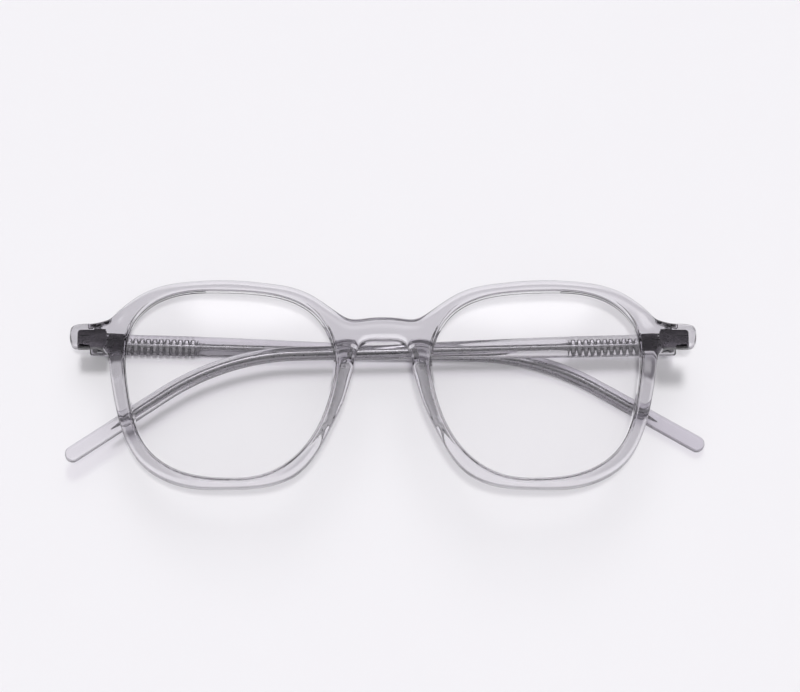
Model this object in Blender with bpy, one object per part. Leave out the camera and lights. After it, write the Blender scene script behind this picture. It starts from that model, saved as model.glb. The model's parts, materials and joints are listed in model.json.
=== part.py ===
"""Clear acetate spectacle frame, folded and lying front up on its temples.

The front lies level but for a small lean: the left temple is flat on the table, the
right one is stacked between it and the front. +X is the right of the front as seen
from above, +Y is the brow side, +Z is up and is the way the front faces.
"""

import math

import bmesh
import bpy
import numpy as np
from mathutils import Matrix, Vector

MM = 0.001

# Front: a bowed plate of acetate, its openings and its rims
LENS_OPENING_WIDTH = 47.2 * MM
LENS_OPENING_HEIGHT = 43.05 * MM
BRIDGE_GAP = 21.0 * MM
OPENING_TOP = 9.75 * MM
FRONT_THICKNESS = 4.0 * MM
FRONT_EDGE_ROUND = 0.8 * MM
BOW_RADIUS = 430.0 * MM
RIM_TOP = 2.4 * MM
RIM_SIDE = 3.55 * MM
RIM_BOTTOM = 2.3 * MM
RIM_NOSE = 3.9 * MM

# Bridge, measured from the hinge line
BRIDGE_TOP = 3.2 * MM
BRIDGE_DIP = 0.46 * MM
BRIDGE_BOTTOM = 2.0 * MM
ARCH_DROP = 6.4 * MM

# Endpieces, which carry the hinges
HINGE_OUTSET = 2.6 * MM
ENDPIECE_REACH = 6.45 * MM
ENDPIECE_TOP = 3.0 * MM
ENDPIECE_BOTTOM = 2.6 * MM
SEAT_BUILD_UP = 0.45 * MM
SEAT_BLEND = 4.0 * MM

# Lenses and the groove that holds them
LENS_THICKNESS = 1.8 * MM
LENS_CROWN = 1.5 * MM
LENS_BEVEL = 0.8 * MM
LENS_CLEARANCE = 0.3 * MM
GROOVE_DEPTH = 0.95 * MM
GROOVE_WIDTH = 2.3 * MM
GROOVE_ROOT_WIDTH = 0.3 * MM

# Nose pads, built up behind the rims
PAD_REACH = 4.5 * MM
PAD_WIDTH = 3.4 * MM
PAD_SPLAY = 1.5 * MM
PAD_CREST_WIDTH = 1.7 * MM
PAD_TOP = 1.2 * MM
PAD_LENGTH = 25.0 * MM
PAD_SEAT_GAP = 0.3 * MM

# Temples
TEMPLE_LENGTH = 143.5 * MM
TEMPLE_THICKNESS = 3.2 * MM
TEMPLE_HEIGHT = 4.65 * MM
TEMPLE_WAIST = 2.9 * MM
TEMPLE_TIP_HEIGHT = 3.5 * MM
TEMPLE_TO_TAPER = 15.5 * MM
TEMPLE_TO_WAIST = 80.0 * MM
TEMPLE_EDGE_ROUND = 0.6 * MM
TEMPLE_TO_BEND = 101.8 * MM
TEMPLE_BEND_RADIUS = 56.0 * MM
TEMPLE_TIP_DROP = {"left": math.radians(28.3), "right": math.radians(32.2)}
TEMPLE_SLOPE = {"left": math.radians(1.2), "right": math.radians(1.85)}
TEMPLE_STACK_GAP = 0.5 * MM

# Hinges of five barrels
BARREL_RADIUS = 1.75 * MM
BARREL_HEIGHT = 0.68 * MM
BARREL_GAP = 0.15 * MM
AXIS_TO_FRONT = 2.6 * MM
AXIS_TO_TEMPLE = 0.8 * MM
BUTT_GAP = 0.3 * MM
HINGE_CLEARANCE = 0.3 * MM
FRONT_LEAF_REACH = 4.6 * MM
FRONT_LEAF_HEEL = 2.0 * MM
FRONT_LEAF_HEIGHT = 3.6 * MM
FRONT_LEAF_THICKNESS = 1.2 * MM
FRONT_NECK_REACH = 0.5 * MM
LEAF_RIB_HEIGHT = 0.35 * MM
TEMPLE_LEAF_START = 2.3 * MM
TEMPLE_LEAF_LENGTH = 3.6 * MM
TEMPLE_LEAF_HEIGHT = 3.9 * MM
TEMPLE_LEAF_THICKNESS = 0.6 * MM
LEAF_CORNER = 0.7 * MM

# Hinge screws
SCREW_RADIUS = 0.7 * MM
SCREW_GAP = 0.15 * MM
SCREW_HEAD_RADIUS = 1.15 * MM
SCREW_HEAD_HEIGHT = 0.5 * MM
SCREW_SLOT_WIDTH = 0.3 * MM
SCREW_SLOT_DEPTH = 0.25 * MM
SCREW_TAIL = 0.3 * MM

# Core wires, ribbed where they are shot into the temples
CORE_START = 4.0 * MM
CORE_RIBBED_LENGTH = 20.6 * MM
CORE_TAPER_LENGTH = 2.7 * MM
CORE_HEIGHT = 3.1 * MM
CORE_PLATE_THICKNESS = 0.6 * MM
CORE_RIB_DIAMETER = 1.1 * MM
CORE_RIB_PITCH = 1.43 * MM
CORE_WIRE_RADIUS = 0.7 * MM
CORE_POINT_RADIUS = 0.15 * MM
CORE_POINT_LENGTH = 5.0 * MM
CORE_END_MARGIN = 12.0 * MM
CORE_CLEARANCE = 0.3 * MM

# How finely curves are divided
CURVE_STEP = 2.8 * MM
TEMPLE_STEP = 7.0 * MM
BEVEL_STEPS = 2
LENS_RINGS = 3
ROUND_SIDES = 24
RIB_SIDES = 6
OVERRUN = 1.0 * MM
MERGE = 0.000001

# Points of the lens opening: shares of its width from the nose, and of its height from below
OPENING_SHARES = (
    (0.551, 1.000), (0.746, 0.991), (0.869, 0.942), (0.965, 0.835), (1.000, 0.622),
    (0.987, 0.495), (0.953, 0.314), (0.871, 0.146), (0.731, 0.042), (0.519, 0.000),
    (0.328, 0.021), (0.180, 0.121), (0.074, 0.288), (0.019, 0.472), (0.000, 0.600),
    (0.023, 0.738), (0.097, 0.866), (0.212, 0.946), (0.371, 0.986),
)

# Points round a rim, across it from the nose side: below, of the height from its foot to the arch,
# and above, of the height from the hinge line to its crown
RIM_LOWER_SHARES = (
    (0.013, 0.896), (0.038, 0.728), (0.075, 0.558), (0.135, 0.329), (0.235, 0.105),
    (0.345, 0.021), (0.500, 0.000), (0.660, 0.018), (0.792, 0.113), (0.873, 0.245),
    (0.940, 0.490), (0.979, 0.782), (1.000, 1.059),
)
RIM_UPPER_SHARES = (
    (0.970, 0.445), (0.920, 0.631), (0.872, 0.770), (0.774, 0.929), (0.660, 0.988),
    (0.542, 1.000), (0.357, 0.925), (0.235, 0.813), (0.161, 0.659), (0.112, 0.508),
)

# The endpiece: shares of its reach past the hinge axis, and of its height above or below the hinge line
ENDPIECE_UNDER_SHARES = ((-0.37, -2.00), (-0.27, -1.42), (-0.09, -1.09), (0.12, -1.00))
ENDPIECE_END_SHARES = (
    (0.62, -1.00), (0.90, -0.82), (0.99, -0.30), (1.00, 0.35), (0.93, 0.80), (0.74, 0.97),
)
ENDPIECE_OVER_SHARES = ((0.19, 1.00), (-0.13, 1.11), (-0.40, 1.31))

# The bridge: shares of half its gap, and of its dip; then its arch, of the width and drop of the arch
BRIDGE_SHARES = ((0.957, 2.24), (0.829, 0.37), (0.705, -0.76), (0.571, -1.0), (0.319, -0.41))
ARCH_SHARES = ((0.45, 0.01), (0.70, 0.10), (0.85, 0.30), (0.94, 0.565), (1.00, 1.00))

# A nose pad: its width and reach at even steps along it, of PAD_WIDTH and PAD_REACH
PAD_WIDTH_SHARES = (0.72, 0.94, 1.00, 1.00, 0.98, 0.92, 0.82, 0.64, 0.28)
PAD_REACH_SHARES = (0.30, 0.66, 0.92, 1.00, 0.96, 0.82, 0.60, 0.34, 0.10)

# Places that follow from the sizes above
HALF_GAP = BRIDGE_GAP / 2
OPENING_BOTTOM = OPENING_TOP - LENS_OPENING_HEIGHT
RIM_INNER_X = HALF_GAP - RIM_NOSE
RIM_OUTER_X = HALF_GAP + LENS_OPENING_WIDTH + RIM_SIDE
RIM_LOW_Y = OPENING_BOTTOM - RIM_BOTTOM
RIM_HIGH_Y = OPENING_TOP + RIM_TOP
HINGE_X = RIM_OUTER_X + HINGE_OUTSET
BARREL_STEP = BARREL_HEIGHT + BARREL_GAP
BUTT_REACH = AXIS_TO_FRONT - BUTT_GAP
FRONT_BARRELS = (-2, 0, 2)
TEMPLE_BARRELS = (-1, 1)
SIDES = (("left", -1), ("right", 1))


def sag(x):
    """How far the bowed front falls back at x from its middle."""
    return BOW_RADIUS - math.sqrt(BOW_RADIUS**2 - x**2)


SEAT_Z = -(sag(HINGE_X) + FRONT_THICKNESS / 2 + SEAT_BUILD_UP)
AXIS_Z = SEAT_Z - AXIS_TO_FRONT
FRONT_LEAN = math.asin((TEMPLE_THICKNESS + TEMPLE_STACK_GAP) / (2 * HINGE_X))
FRONT_HEIGHT = (
    TEMPLE_THICKNESS + AXIS_TO_TEMPLE
    + HINGE_X * math.sin(FRONT_LEAN) - AXIS_Z * math.cos(FRONT_LEAN)
)


def smooth_step(t):
    t = min(max(t, 0.0), 1.0)
    return t * t * (3 - 2 * t)


def smooth_loop(points, step):
    """Points along the closed smooth curve through the given ones, about a step apart."""
    knots = np.array(points)
    count = len(knots)
    ahead = np.roll(knots, -1, axis=0)
    spans = np.linalg.norm(ahead - knots, axis=1)
    behind_spans = np.roll(spans, 1)
    system = np.zeros((count, count))
    right_hand = np.zeros((count, 2))
    for i in range(count):
        before = (i - 1) % count
        after = (i + 1) % count
        system[i, before] += behind_spans[i]
        system[i, i] += 2 * (behind_spans[i] + spans[i])
        system[i, after] += spans[i]
        slope_after = (knots[after] - knots[i]) / spans[i]
        slope_before = (knots[i] - knots[before]) / behind_spans[i]
        right_hand[i] = 6 * (slope_after - slope_before)
    bends = np.linalg.solve(system, right_hand)
    made = []
    for i in range(count):
        after = (i + 1) % count
        span = spans[i]
        pieces = max(2, math.ceil(span / step))
        for piece in range(pieces):
            t = span * piece / pieces
            rest = span - t
            point = (
                bends[i] * rest**3 + bends[after] * t**3
            ) / (6 * span) + (
                knots[i] / span - bends[i] * span / 6
            ) * rest + (
                knots[after] / span - bends[after] * span / 6
            ) * t
            made.append(point)
    return np.array(made)


def offset_loop(points, distance):
    """A closed outline, drawn anticlockwise, moved outwards by a distance."""
    along = np.roll(points, -1, axis=0) - np.roll(points, 1, axis=0)
    along /= np.linalg.norm(along, axis=1)[:, None]
    outward = np.stack([along[:, 1], -along[:, 0]], axis=1)
    return points + outward * distance


def opening_loop():
    """The right lens opening, anticlockwise."""
    points = [
        (HALF_GAP + LENS_OPENING_WIDTH * x, OPENING_BOTTOM + LENS_OPENING_HEIGHT * y)
        for x, y in OPENING_SHARES
    ]
    return smooth_loop(points[::-1], CURVE_STEP)


def front_loop():
    """The outer outline of the whole front, anticlockwise."""
    rim_width = RIM_OUTER_X - RIM_INNER_X
    arch_foot_y = -BRIDGE_BOTTOM - ARCH_DROP
    lower_height = arch_foot_y - RIM_LOW_Y
    half = [(RIM_INNER_X * x, -BRIDGE_BOTTOM - ARCH_DROP * y) for x, y in ARCH_SHARES]
    half += [
        (RIM_INNER_X + rim_width * x, RIM_LOW_Y + lower_height * y) for x, y in RIM_LOWER_SHARES
    ]
    for shares, height in (
        (ENDPIECE_UNDER_SHARES, ENDPIECE_BOTTOM),
        (ENDPIECE_END_SHARES, ENDPIECE_TOP),
        (ENDPIECE_OVER_SHARES, ENDPIECE_TOP),
    ):
        for x, y in shares:
            rise = height if y > 0 else ENDPIECE_BOTTOM
            half.append((HINGE_X + ENDPIECE_REACH * x, rise * y))
    half += [(RIM_INNER_X + rim_width * x, RIM_HIGH_Y * y) for x, y in RIM_UPPER_SHARES]
    half += [(HALF_GAP * x, BRIDGE_TOP + BRIDGE_DIP * y) for x, y in BRIDGE_SHARES]
    mirrored = [(-x, y) for x, y in half[::-1]]
    points = [(0, -BRIDGE_BOTTOM)] + half + [(0, BRIDGE_TOP)] + mirrored
    return smooth_loop(points, CURVE_STEP)


def front_face_z(x):
    return FRONT_THICKNESS / 2 - sag(x)


def rear_face_z(x, y):
    """The rear of the front, built up to a flat seat behind each endpiece."""
    plain = -FRONT_THICKNESS / 2 - sag(x)
    across = smooth_step((abs(x) - RIM_OUTER_X + SEAT_BLEND) / SEAT_BLEND)
    along = smooth_step((y + ENDPIECE_BOTTOM + 2 * SEAT_BLEND) / SEAT_BLEND)
    return plain + (SEAT_Z - plain) * across * along


def clear_scene():
    for obj in list(bpy.data.objects):
        bpy.data.objects.remove(obj)


def new_collection(name):
    made = bpy.data.collections.new(name)
    bpy.context.scene.collection.children.link(made)
    return made


def make_material(name, colour, roughness, metallic=0.0, transmission=0.0):
    made = bpy.data.materials.new(name)
    made.use_nodes = True
    shader = made.node_tree.nodes["Principled BSDF"]
    shader.inputs["Base Color"].default_value = (*colour, 1)
    shader.inputs["Roughness"].default_value = roughness
    shader.inputs["Metallic"].default_value = metallic
    shader.inputs["Transmission Weight"].default_value = transmission
    return made


def add_object(name, mesh, collection, material=None, parent=None, smooth=True):
    made = bpy.data.objects.new(name, mesh)
    collection.objects.link(made)
    if material:
        mesh.materials.append(material)
    if smooth:
        mesh.shade_smooth()
        mesh.set_sharp_from_angle(angle=math.radians(35))
    made.parent = parent
    return made


def add_cutter(name, mesh, parent=None):
    made = add_object(name, mesh, CUTTERS, parent=parent, smooth=False)
    made.hide_render = True
    made.display_type = "WIRE"
    return made


def cut(obj, cutter, operation="DIFFERENCE"):
    modifier = obj.modifiers.new(cutter.name, "BOOLEAN")
    modifier.operation = operation
    modifier.solver = "EXACT"
    modifier.object = cutter


def mesh_of(bm, name):
    bmesh.ops.recalc_face_normals(bm, faces=bm.faces)
    mesh = bpy.data.meshes.new(name)
    bm.to_mesh(mesh)
    bm.free()
    return mesh


def mesh_of_curve(curve, name):
    """The solid that a curve makes, its caps welded on."""
    guide = bpy.data.objects.new(name + "_guide", curve)
    bpy.context.scene.collection.objects.link(guide)
    graph = bpy.context.evaluated_depsgraph_get()
    raw = bpy.data.meshes.new_from_object(guide.evaluated_get(graph))
    bpy.data.objects.remove(guide)
    bm = bmesh.new()
    bm.from_mesh(raw)
    bmesh.ops.remove_doubles(bm, verts=bm.verts, dist=MERGE)
    return mesh_of(bm, name)


def plate_mesh(name, loops, thickness, edge_round):
    """A flat outline, with its holes, extruded about z = 0 and rounded along its edges."""
    curve = bpy.data.curves.new(name, "CURVE")
    curve.dimensions = "2D"
    curve.fill_mode = "BOTH"
    curve.extrude = thickness / 2 - edge_round
    curve.bevel_depth = edge_round
    curve.bevel_resolution = BEVEL_STEPS - 1
    curve.offset = -edge_round
    for loop in loops:
        spline = curve.splines.new("POLY")
        spline.points.add(len(loop) - 1)
        spline.use_cyclic_u = True
        for point, (x, y) in zip(spline.points, loop):
            point.co = (x, y, 0, 1)
    return mesh_of_curve(curve, name)


def tube_mesh(name, path, radii):
    """A round wire along a path, with its own radius at each point."""
    curve = bpy.data.curves.new(name, "CURVE")
    curve.dimensions = "3D"
    curve.bevel_depth = max(radii)
    curve.bevel_resolution = 2
    curve.use_fill_caps = True
    spline = curve.splines.new("POLY")
    spline.points.add(len(path) - 1)
    for point, place, radius in zip(spline.points, path, radii):
        point.co = (*place, 1)
        point.radius = radius / max(radii)
    return mesh_of_curve(curve, name)


def box_mesh(name, low, high, edge_round=0.0):
    bm = bmesh.new()
    bmesh.ops.create_cube(bm, size=1)
    low = Vector(low)
    high = Vector(high)
    for vertex in bm.verts:
        share = vertex.co + Vector((0.5, 0.5, 0.5))
        vertex.co = low + share * (high - low)
    if edge_round:
        standing = [
            edge for edge in bm.edges
            if abs(edge.verts[0].co.z - edge.verts[1].co.z) > abs(high.z - low.z) / 2
        ]
        bmesh.ops.bevel(
            bm, geom=standing, offset=edge_round, segments=3, profile=0.5, affect="EDGES"
        )
    return mesh_of(bm, name)


def cylinder_mesh(name, radius, low_y, high_y, sides=ROUND_SIDES):
    """A cylinder about the Y axis."""
    bm = bmesh.new()
    bmesh.ops.create_cone(
        bm, cap_ends=True, segments=sides, radius1=radius, radius2=radius, depth=high_y - low_y
    )
    turn = Matrix.Rotation(math.radians(90), 4, "X")
    place = Matrix.Translation((0, (low_y + high_y) / 2, 0))
    bmesh.ops.transform(bm, matrix=place @ turn, verts=bm.verts)
    return mesh_of(bm, name)


def loft_mesh(name, rings, capped=True):
    """Skin over rings of as many points each; an uncapped one closes on its first ring."""
    bm = bmesh.new()
    rows = [[bm.verts.new(point) for point in ring] for ring in rings]
    pairs = list(zip(rows, rows[1:]))
    if not capped:
        pairs.append((rows[-1], rows[0]))
    for first, second in pairs:
        for i in range(len(first)):
            after = (i + 1) % len(first)
            bm.faces.new((first[i], first[after], second[after], second[i]))
    if capped:
        bm.faces.new(rows[0][::-1])
        bm.faces.new(rows[-1])
    return mesh_of(bm, name)


def joined_mesh(name, meshes):
    bm = bmesh.new()
    for mesh in meshes:
        bm.from_mesh(mesh)
    return mesh_of(bm, name)


def mirror_mesh(mesh, side):
    """The same mesh for the right side, its mirror image for the left."""
    if side > 0:
        return mesh
    bm = bmesh.new()
    bm.from_mesh(mesh)
    bmesh.ops.scale(bm, vec=(-1, 1, 1), verts=bm.verts)
    return mesh_of(bm, mesh.name + "_mirrored")


def groove_mesh(name):
    """The ring that cuts the lens groove into the right rim."""
    loop = opening_loop()
    root = offset_loop(loop, GROOVE_DEPTH)
    slope = (GROOVE_WIDTH - GROOVE_ROOT_WIDTH) / 2 / GROOVE_DEPTH
    start = offset_loop(loop, -OVERRUN)
    start_half = GROOVE_WIDTH / 2 + slope * OVERRUN
    start_half = min(start_half, FRONT_THICKNESS)
    rings = []
    for inner, outer in zip(start, root):
        mid_inner = -sag(inner[0])
        mid_outer = -sag(outer[0])
        rings.append((
            (inner[0], inner[1], mid_inner - start_half),
            (outer[0], outer[1], mid_outer - GROOVE_ROOT_WIDTH / 2),
            (outer[0], outer[1], mid_outer + GROOVE_ROOT_WIDTH / 2),
            (inner[0], inner[1], mid_inner + start_half),
        ))
    return loft_mesh(name, rings, capped=False)


def make_front(parent):
    opening = opening_loop()
    mirrored = np.stack([-opening[:, 0], opening[:, 1]], axis=1)
    # The holes run against the outline, so that their edges round into the openings
    loops = [front_loop(), opening[::-1], mirrored]
    mesh = plate_mesh("front_frame", loops, FRONT_THICKNESS, FRONT_EDGE_ROUND)
    for vertex in mesh.vertices:
        x, y, z = vertex.co
        share = z / FRONT_THICKNESS + 1 / 2
        rear = rear_face_z(x, y)
        vertex.co.z = rear + (front_face_z(x) - rear) * share
    front = add_object("front_frame", mesh, PARTS, ACETATE, parent)
    groove = groove_mesh("groove")
    for side_name, side in SIDES:
        cut(front, add_cutter("groove_" + side_name, mirror_mesh(groove, side), parent))
        pocket = box_mesh(
            "leaf_pocket",
            (
                HINGE_X - FRONT_LEAF_HEEL - HINGE_CLEARANCE,
                -FRONT_LEAF_HEIGHT / 2 - HINGE_CLEARANCE,
                SEAT_Z - OVERRUN,
            ),
            (
                HINGE_X + FRONT_LEAF_REACH + HINGE_CLEARANCE,
                FRONT_LEAF_HEIGHT / 2 + HINGE_CLEARANCE,
                SEAT_Z + FRONT_LEAF_THICKNESS + LEAF_RIB_HEIGHT + HINGE_CLEARANCE,
            ),
            LEAF_CORNER,
        )
        cut(front, add_cutter("leaf_pocket_" + side_name, mirror_mesh(pocket, side), parent))
    return front


def lens_mesh(name):
    """A meniscus lens with a pointed bevel round its edge."""
    opening = opening_loop()
    edge = offset_loop(opening, -LENS_CLEARANCE)
    apex = offset_loop(opening, LENS_BEVEL - LENS_CLEARANCE)
    middle = edge.mean(axis=0)
    rings = []

    def ring(points, rise, crown):
        rings.append([(x, y, rise + crown - sag(x)) for x, y in points])

    for level in range(1, LENS_RINGS + 1):
        share = level / LENS_RINGS
        ring(middle + (edge - middle) * share, LENS_THICKNESS / 2, LENS_CROWN * (1 - share**2))
    ring(apex, 0, 0)
    for level in range(LENS_RINGS, 0, -1):
        share = level / LENS_RINGS
        ring(middle + (edge - middle) * share, -LENS_THICKNESS / 2, LENS_CROWN * (1 - share**2))
    return loft_mesh(name, rings)


def pad_mesh(name):
    """A built-up pad behind the nose side of the right rim: rounded sections along the rim."""
    opening = smooth_loop(
        [
            (HALF_GAP + LENS_OPENING_WIDTH * x, OPENING_BOTTOM + LENS_OPENING_HEIGHT * y)
            for x, y in OPENING_SHARES
        ],
        CURVE_STEP,
    )
    nose_side = opening[opening[:, 0] < HALF_GAP + LENS_OPENING_WIDTH / 2]
    heights = nose_side[:, 1]
    order = np.argsort(heights)
    rings = []
    count = len(PAD_WIDTH_SHARES)
    for i, (width_share, reach_share) in enumerate(zip(PAD_WIDTH_SHARES, PAD_REACH_SHARES)):
        y = -PAD_TOP - PAD_LENGTH * i / (count - 1)
        rim_x = np.interp(y, heights[order], nose_side[order, 0])
        centre = rim_x - RIM_NOSE / 2
        half = PAD_WIDTH * width_share / 2
        crest = PAD_CREST_WIDTH * width_share / 2
        seat = -FRONT_THICKNESS / 2 - sag(centre) - PAD_SEAT_GAP
        reach = PAD_REACH * reach_share
        splay = PAD_SPLAY * reach_share
        rings.append((
            (centre - half, y, seat),
            (centre + half, y, seat),
            (centre + half + splay / 3, y, seat - reach / 3),
            (centre + crest + splay * 5 / 6, y, seat - reach * 5 / 6),
            (centre + splay, y, seat - reach),
            (centre - crest + splay * 5 / 6, y, seat - reach * 5 / 6),
            (centre - half + splay / 3, y, seat - reach / 3),
        ))
    return loft_mesh(name, rings)


def temple_line(side_name, distance):
    """Where the middle line of a temple is, and which way it runs, at a distance from its butt end.

    X runs from the hinge axis along the folded temple, and Y towards the brow.
    """
    half_tangent = TEMPLE_BEND_RADIUS * math.tan(TEMPLE_TIP_DROP[side_name] / 2)
    straight = TEMPLE_TO_BEND - half_tangent
    arc = TEMPLE_BEND_RADIUS * TEMPLE_TIP_DROP[side_name]
    heading = -TEMPLE_SLOPE[side_name]
    place = Vector((-BUTT_REACH, 0))
    run = min(distance, straight)
    place += run * Vector((math.cos(heading), math.sin(heading)))
    turned = min(max(distance - straight, 0), arc) / TEMPLE_BEND_RADIUS
    place += TEMPLE_BEND_RADIUS * Vector((
        math.sin(turned - heading) + math.sin(heading),
        math.cos(turned - heading) - math.cos(heading),
    ))
    heading -= turned
    run = max(distance - straight - arc, 0)
    place += run * Vector((math.cos(heading), math.sin(heading)))
    return place, heading


def temple_half_height(distance):
    to_waist = smooth_step((distance - TEMPLE_TO_TAPER) / (TEMPLE_TO_WAIST - TEMPLE_TO_TAPER))
    to_tip = smooth_step((distance - TEMPLE_TO_WAIST) / (TEMPLE_LENGTH - TEMPLE_TO_WAIST))
    height = TEMPLE_HEIGHT + (TEMPLE_WAIST - TEMPLE_HEIGHT) * to_waist
    return (height + (TEMPLE_TIP_HEIGHT - TEMPLE_WAIST) * to_tip) / 2


def beside_line(side_name, distance, offset):
    place, heading = temple_line(side_name, distance)
    return (
        place.x - offset * math.sin(heading),
        place.y + offset * math.cos(heading),
    )


def temple_loop(side_name):
    """The outline of a temple, anticlockwise, with a round tip."""
    tip_radius = TEMPLE_TIP_HEIGHT / 2
    last = TEMPLE_LENGTH - tip_radius
    count = math.ceil(last / TEMPLE_STEP)
    stations = [last * i / count for i in range(count + 1)]
    under = [beside_line(side_name, s, -temple_half_height(s)) for s in stations]
    over = [beside_line(side_name, s, temple_half_height(s)) for s in stations]
    round_steps = 6
    tip = []
    for i in range(1, round_steps):
        angle = math.pi * i / round_steps - math.pi / 2
        reach = tip_radius * math.cos(angle)
        half = temple_half_height(last)
        tip.append(beside_line(side_name, last + reach, half * math.sin(angle)))
    return under + tip + over[::-1]


def core_path(start, end, step):
    count = math.ceil((end - start) / step)
    return [start + (end - start) * i / count for i in range(count + 1)]


def temple_mesh(name, side_name):
    """The temple lies with its inner face level with z = 0 and its outer face below."""
    mesh = plate_mesh(name, [temple_loop(side_name)], TEMPLE_THICKNESS, TEMPLE_EDGE_ROUND)
    mesh.transform(Matrix.Translation((0, 0, -AXIS_TO_TEMPLE - TEMPLE_THICKNESS / 2)))
    return mesh


def barrel_relief_mesh(name):
    """Room for the barrels at the butt end of a temple."""
    reach = TEMPLE_HEIGHT
    return cylinder_mesh(name, BARREL_RADIUS + HINGE_CLEARANCE, -reach, reach)


def butt_relief_mesh(name):
    """The same room, open to the butt end."""
    return box_mesh(
        name,
        (-BUTT_REACH - OVERRUN, -TEMPLE_HEIGHT, -BARREL_RADIUS - HINGE_CLEARANCE),
        (0, TEMPLE_HEIGHT, OVERRUN),
    )


def temple_leaf_step_mesh(name):
    """The step that the leaf sits in, milled right across the temple."""
    return box_mesh(
        name,
        (
            TEMPLE_LEAF_START - HINGE_CLEARANCE - OVERRUN,
            -TEMPLE_HEIGHT,
            -AXIS_TO_TEMPLE - TEMPLE_LEAF_THICKNESS - HINGE_CLEARANCE,
        ),
        (
            TEMPLE_LEAF_START + TEMPLE_LEAF_LENGTH + HINGE_CLEARANCE,
            TEMPLE_HEIGHT,
            OVERRUN - AXIS_TO_TEMPLE,
        ),
    )


def core_middle_z():
    return -AXIS_TO_TEMPLE - TEMPLE_THICKNESS / 2


def core_channel_mesh(name, side_name):
    """The room round a core wire's ribbed head, open under the hinge leaf."""
    head_end = CORE_START + CORE_RIBBED_LENGTH
    half = CORE_HEIGHT / 2 + CORE_CLEARANCE
    deep = CORE_RIB_DIAMETER / 2 + CORE_CLEARANCE
    stations = (CORE_START - CORE_CLEARANCE, head_end + CORE_CLEARANCE)
    ends = (head_end + CORE_TAPER_LENGTH + CORE_CLEARANCE, CORE_WIRE_RADIUS + CORE_CLEARANCE)
    under = [beside_line(side_name, s, -half) for s in stations]
    over = [beside_line(side_name, s, half) for s in stations]
    under.append(beside_line(side_name, ends[0], -ends[1]))
    over.append(beside_line(side_name, ends[0], ends[1]))
    mesh = plate_mesh(name, [under + over[::-1]], 2 * deep, 0)
    mesh.transform(Matrix.Translation((0, 0, core_middle_z())))
    return mesh


def wire_tube_mesh(name, side_name, start, end, extra, pointed):
    """A core wire, or with extra the bore round it, along the temple's middle line."""
    stations = core_path(start, end, TEMPLE_STEP)
    radii = [CORE_WIRE_RADIUS + extra] * len(stations)
    if pointed:
        stations.append(end + CORE_POINT_LENGTH)
        radii.append(CORE_POINT_RADIUS)
    path = [(*beside_line(side_name, s, 0), core_middle_z()) for s in stations]
    return tube_mesh(name, path, radii)


def make_core(side_name, side, parent):
    """A wire with a flat ribbed head: plate, cross ribs and the wire that runs on to the tip."""
    head_end = CORE_START + CORE_RIBBED_LENGTH
    wire_end = TEMPLE_LENGTH - CORE_END_MARGIN - CORE_POINT_LENGTH
    half = CORE_HEIGHT / 2
    under = [beside_line(side_name, s, -half) for s in (CORE_START, head_end)]
    over = [beside_line(side_name, s, half) for s in (CORE_START, head_end)]
    nose = [
        beside_line(side_name, head_end + CORE_TAPER_LENGTH, -CORE_PLATE_THICKNESS / 2),
        beside_line(side_name, head_end + CORE_TAPER_LENGTH, CORE_PLATE_THICKNESS / 2),
    ]
    plate = plate_mesh("core_plate", [under + nose + over[::-1]], CORE_PLATE_THICKNESS, 0)
    plate.transform(Matrix.Translation((0, 0, core_middle_z())))
    core = add_object("core_wire_" + side_name, mirror_mesh(plate, -side), PARTS, WIRE, parent)
    wire = wire_tube_mesh(
        "core_run", side_name, CORE_START + CORE_RIB_PITCH, wire_end, 0, True
    )
    cut(core, add_cutter("core_run_" + side_name, mirror_mesh(wire, -side), parent), "UNION")
    ribs = []
    count = int((CORE_RIBBED_LENGTH - CORE_RIB_DIAMETER) / CORE_RIB_PITCH) + 1
    for i in range(count):
        rib = cylinder_mesh("rib", CORE_RIB_DIAMETER / 2, -half, half, RIB_SIDES)
        along = CORE_START + CORE_RIB_DIAMETER / 2 + CORE_RIB_PITCH * i
        x, y = beside_line(side_name, along, 0)
        rib.transform(Matrix.Translation((x, y, core_middle_z())))
        ribs.append(rib)
    comb = mirror_mesh(joined_mesh("core_ribs", ribs), -side)
    cut(core, add_cutter("core_ribs_" + side_name, comb, parent), "UNION")
    return core


def make_temple(side_name, side, parent):
    mesh = mirror_mesh(temple_mesh("temple", side_name), -side)
    temple = add_object("temple_" + side_name, mesh, PARTS, ACETATE, parent)
    bore_end = TEMPLE_LENGTH - CORE_END_MARGIN + CORE_CLEARANCE
    bore_start = CORE_START + CORE_RIBBED_LENGTH
    cutters = {
        "barrel_relief": barrel_relief_mesh("barrel_relief"),
        "butt_relief": butt_relief_mesh("butt_relief"),
        "leaf_step": temple_leaf_step_mesh("temple_leaf_step"),
        "core_channel": core_channel_mesh("core_channel", side_name),
        "core_bore": wire_tube_mesh(
            "core_bore", side_name, bore_start, bore_end, CORE_CLEARANCE, False
        ),
    }
    for name, cutter in cutters.items():
        made = add_cutter(f"temple_{name}_{side_name}", mirror_mesh(cutter, -side), parent)
        cut(temple, made)
    return temple


def barrels_mesh(name, places):
    """Hinge barrels about the Y axis, at whole steps from the hinge line."""
    made = []
    for place in places:
        low = BARREL_STEP * place - BARREL_HEIGHT / 2
        made.append(cylinder_mesh(name, BARREL_RADIUS, low, low + BARREL_HEIGHT))
    return joined_mesh(name, made)


def necks_mesh(name, places, low_x, high_x, low_z, high_z):
    made = []
    for place in places:
        low = BARREL_STEP * place - BARREL_HEIGHT / 2
        made.append(box_mesh(name, (low_x, low, low_z), (high_x, low + BARREL_HEIGHT, high_z)))
    return joined_mesh(name, made)


def screw_bore_mesh(name):
    reach = BARREL_STEP * len(FRONT_BARRELS)
    return cylinder_mesh(name, SCREW_RADIUS + SCREW_GAP, -reach, reach)


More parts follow.
